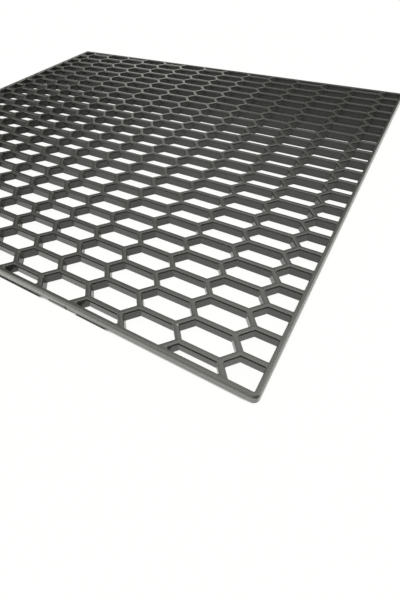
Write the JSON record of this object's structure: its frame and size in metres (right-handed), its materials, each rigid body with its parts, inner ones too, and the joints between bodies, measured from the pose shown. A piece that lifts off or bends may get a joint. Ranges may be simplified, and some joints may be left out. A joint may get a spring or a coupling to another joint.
{
  "type": "honeycomb grille mesh",
  "caption": "Flat black plastic grille panel with long hexagonal through openings in staggered columns and a plain rim on all sides, with rounded outer corners.",
  "frame": {"origin": "middle of the panel's underside, the face that it lies on", "axes": "+X along the front rim and the long way of the openings, +Y from the front rim to the far rim, +Z out of the front face"},
  "size_m": [0.316, 0.2707, 0.0044],
  "materials": {
    "black_abs": "satin as moulded, with rounded edges and a fine surface"
  },
  "bodies": {
    "root": {"honeycomb_panel": "black_abs"}
  },
  "joints": []
}
